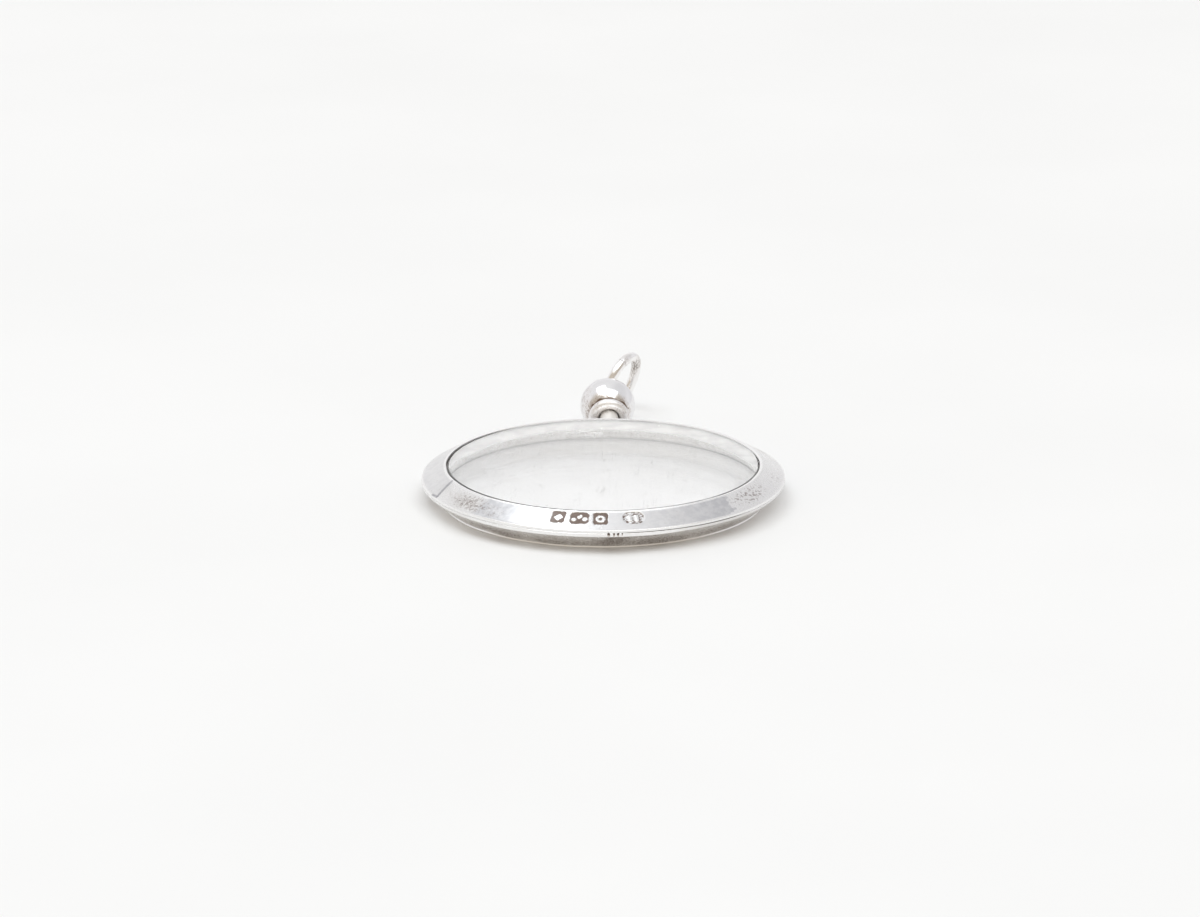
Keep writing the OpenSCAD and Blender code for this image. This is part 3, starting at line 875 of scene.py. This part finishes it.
def pane(name, side):
    r1, r2 = GROOVE_R - 0.04, LIP_IN - 0.19
    r3 = r2 - 0.10
    corners = [(0.0, PANE_IN), (r1, PANE_IN), (r1, PANE_IN + FLANGE), (r2, PANE_IN + FLANGE), (r2, PANE_OUT - 0.16), (r3, PANE_OUT), (0.0, PANE_OUT)]
    rads = [0, 0.03, 0.03, 0.02, 0.035, 0.05, 0]
    prof = spread(fillet(corners, rads, 4, closed=False), 0.35, closed=False, near=0.015)
    pts, faces = disc_revolve(prof, 300)
    r = np.hypot(pts[:, 0], pts[:, 1])
    z = pts[:, 2]
    # grime round the flange, painted dark at the sides as shade and white at the head as light
    rim_grime_and_light = smooth(12.81, 12.86, r) * smooth(13.08, 13.03, r) * smooth(PANE_IN + 0.2, PANE_IN + FLANGE - 0.01, z)
    rim_grime_and_light = np.clip(rim_grime_and_light * 0.95 + (np.abs(r - r2) < 0.02) * (z < PANE_OUT - 0.34) * 0.5, 0, 1)
    pale = 1 - channel_grime_and_shade(pts)
    # the panes' edges are painted white, a painted light over the shade there: at the head on the front pane, and in
    # the groove on the back one
    painted_white_rim = 0.95 * (z > PANE_IN + 0.015)
    painted_white_rim = painted_white_rim * (snug(pts) * (r > r3 - 0.004) * (z < PANE_OUT - 0.003) if side > 0 else r > 12.95)
    rim_grime_and_light = np.maximum(rim_grime_and_light, painted_white_rim)
    ground = smooth(r3 - 0.02, r3 + 0.03, r) * (z > PANE_OUT - 0.19) + (np.abs(r - r2) < 0.03) * (z > PANE_IN + FLANGE) * 0.6
    patch = np.exp(-(((pts[:, 0] + 1.9) / 2.6) ** 2) - ((pts[:, 1] - 9.0) / 2.0) ** 2) * (z > PANE_OUT - 0.1)
    turn = np.abs(angle_from(pts, 0))
    # a faint white veil painted over the far part of the front pane: painted light that lightens the shade seen through
    # it
    deep = pts[:, 1] - np.sqrt(np.maximum(12.9**2 - pts[:, 0] ** 2, 0))
    reach = 3.1 + 1.2 * smooth(6.0, 11.0, np.abs(pts[:, 0]))
    painted_light_veil = np.maximum(smooth(-reach - 0.9, -reach + 0.5, deep) * smooth(55, 80, turn), 0.38 * smooth(-10.0, -6.5, deep))
    painted_light_veil = painted_light_veil * (z > PANE_OUT - 0.1)
    # the front pane lies close up to its lip round the head, and the back pane all round
    near = (r > r3 - 0.07) & (r < r2 + 0.025) & (z > PANE_IN + FLANGE - 0.001)
    push = (snug(pts) if side > 0 else 1.0) * (0.125 + 0.06 * smooth(1.33, 1.44, z)) * near
    pts[:, :2] *= (1 + push / np.maximum(r, 1.0))[:, None]
    if side < 0:
        pts = pts * np.array([1, 1, -1.0])
        rim_grime_and_light, pale, painted_light_veil = rim_grime_and_light * (r > 12.95), 0.85 + 0.15 * pale, 0 * painted_light_veil
        patch = np.exp(-(((pts[:, 0] - 3) / 3.0) ** 2) - ((pts[:, 1] + 2) / 3.0) ** 2) * 0.3
    values = {"rim_grime_and_light": rim_grime_and_light, "pale": pale, "ground": np.clip(ground, 0, 1), "patch": patch, "painted_light_veil": painted_light_veil}
    return new_object(name, pts, faces, attrs=values, material=GLASS)


# ---------------------------------------------------------------- build

built = {
    "locket": [front_rim(), back_rim(), seam_solder(), half_post("post_upper", -1), half_post("post_lower", 1)],
    "knob": [knob(), eye()],
    "ring": [bail_ring()],
}
for body, obs in built.items():
    for ob in obs:
        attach(ob, body)
for ob in built["locket"]:
    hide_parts("frame")
for ob in built["knob"]:
    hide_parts("ball_knob")
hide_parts("bail_ring")
for name, node, side in (("front_pane", "front_glass", 1), ("back_pane", "back_glass", -1)):
    ob = pane(name, side)
    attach(ob, "locket")
    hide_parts(node)

# ---------------------------------------------------------------- floor, light


def floor():
    me = bpy.data.meshes.new("floor")
    s = 8.0
    me.from_pydata([(-s, -s, -0.00151), (s, -s, -0.00151), (s, s, -0.00151), (-s, s, -0.00151)], [], [(0, 1, 2, 3)])
    ob = bpy.data.objects.new("floor", me)
    bpy.context.scene.collection.objects.link(ob)
    m = Mat("table")
    soft = m.noise(0.02, 3.0, 0.5)
    me.materials.append(m.set(Base_Color=m.mix(m.ramp(soft, 0.3, 0.7), (0.826, 0.828, 0.828), (0.844, 0.846, 0.846)), Roughness=0.75, Specular_IOR_Level=0.2))


def world():
    """A plain pale room: bright low down behind the table, dimmer on the camera's side and high on the right."""
    w = bpy.data.worlds.new("world")
    bpy.context.scene.world = w
    w.use_nodes = True
    nt = w.node_tree
    nt.nodes.clear()
    out = nt.nodes.new("ShaderNodeOutputWorld")
    bg = nt.nodes.new("ShaderNodeBackground")
    coord = nt.nodes.new("ShaderNodeTexCoord")
    split = nt.nodes.new("ShaderNodeSeparateXYZ")
    nt.links.new(coord.outputs["Generated"], split.inputs[0])

    def by_height(stops, tint):
        ramp = nt.nodes.new("ShaderNodeValToRGB")
        ramp.color_ramp.interpolation = "EASE"
        el = ramp.color_ramp.elements
        el[0].position, el[1].position = stops[0][0], stops[-1][0]
        for pos, _ in stops[1:-1]:
            el.new(pos)
        for e, (_, v) in zip(el, stops):
            e.color = (v * tint[0], v * tint[1], v * tint[2], 1)
        nt.links.new(split.outputs["Z"], ramp.inputs[0])
        return ramp.outputs[0]

    def step(name, a, b):
        n = nt.nodes.new("ShaderNodeMapRange")
        n.interpolation_type = "SMOOTHSTEP"
        n.inputs["From Min"].default_value, n.inputs["From Max"].default_value = a, b
        nt.links.new(split.outputs[name], n.inputs["Value"])
        return n.outputs[0]

    def mix(f, a, b, mode="MIX"):
        n = nt.nodes.new("ShaderNodeMix")
        n.data_type, n.blend_type = "RGBA", mode
        nt.links.new(f, n.inputs[0])
        for socket, x in ((n.inputs[6], a), (n.inputs[7], b)):
            if isinstance(x, bpy.types.NodeSocket):
                nt.links.new(x, socket)
            else:
                socket.default_value = (*x, 1)
        return n.outputs[2]

    back = by_height([(0.0, 0.91), (0.16, 0.94), (0.32, 0.97), (0.46, 0.87), (0.70, 0.85), (1.0, 0.85)], (1.0, 0.995, 1.0))
    front = by_height([(0.0, 0.72), (0.15, 0.62), (0.60, 0.58), (0.80, 0.68), (1.0, 0.80)], (1.0, 0.90, 0.77))
    room = mix(step("Y", 0.10, -0.35), back, front)
    dim = mix(step("X", 0.12, 0.45), (1, 1, 1), (0.87, 0.87, 0.88))
    always = nt.nodes.new("ShaderNodeMapRange")
    always.inputs["To Min"].default_value = always.inputs["To Max"].default_value = 1.0
    nt.links.new(mix(always.outputs[0], room, dim, "MULTIPLY"), bg.inputs["Color"])
    bg.inputs["Strength"].default_value = 1.0
    nt.links.new(bg.outputs[0], out.inputs[0])


def softbox(name, place, wide, deep, radiance):
    """A level panel overhead, facing the table."""
    data = bpy.data.lights.new(name, "AREA")
    data.shape = "RECTANGLE"
    data.size, data.size_y = wide, deep
    data.energy = radiance * math.pi * wide * deep
    data.color = (0.895, 0.953, 1.0)
    ob = bpy.data.objects.new(name, data)
    ob.location = place
    bpy.context.scene.collection.objects.link(ob)


floor()
world()
softbox("panel_left", (-1.30, -0.10, 3.0), 1.72, 2.6, 1.74)
softbox("panel_right", (0.66, -1.26, 2.95), 2.9, 2.5, 1.74)
bpy.context.scene.cycles.blur_glossy = 0.0
bpy.context.scene.cycles.max_bounces = 24
bpy.context.scene.cycles.transmission_bounces = 24
bpy.context.scene.cycles.glossy_bounces = 8
view = bpy.context.scene.view_settings
view.view_transform = "Standard"
view.look = "None"
view.exposure = 0.0

bpy.context.view_layer.update()
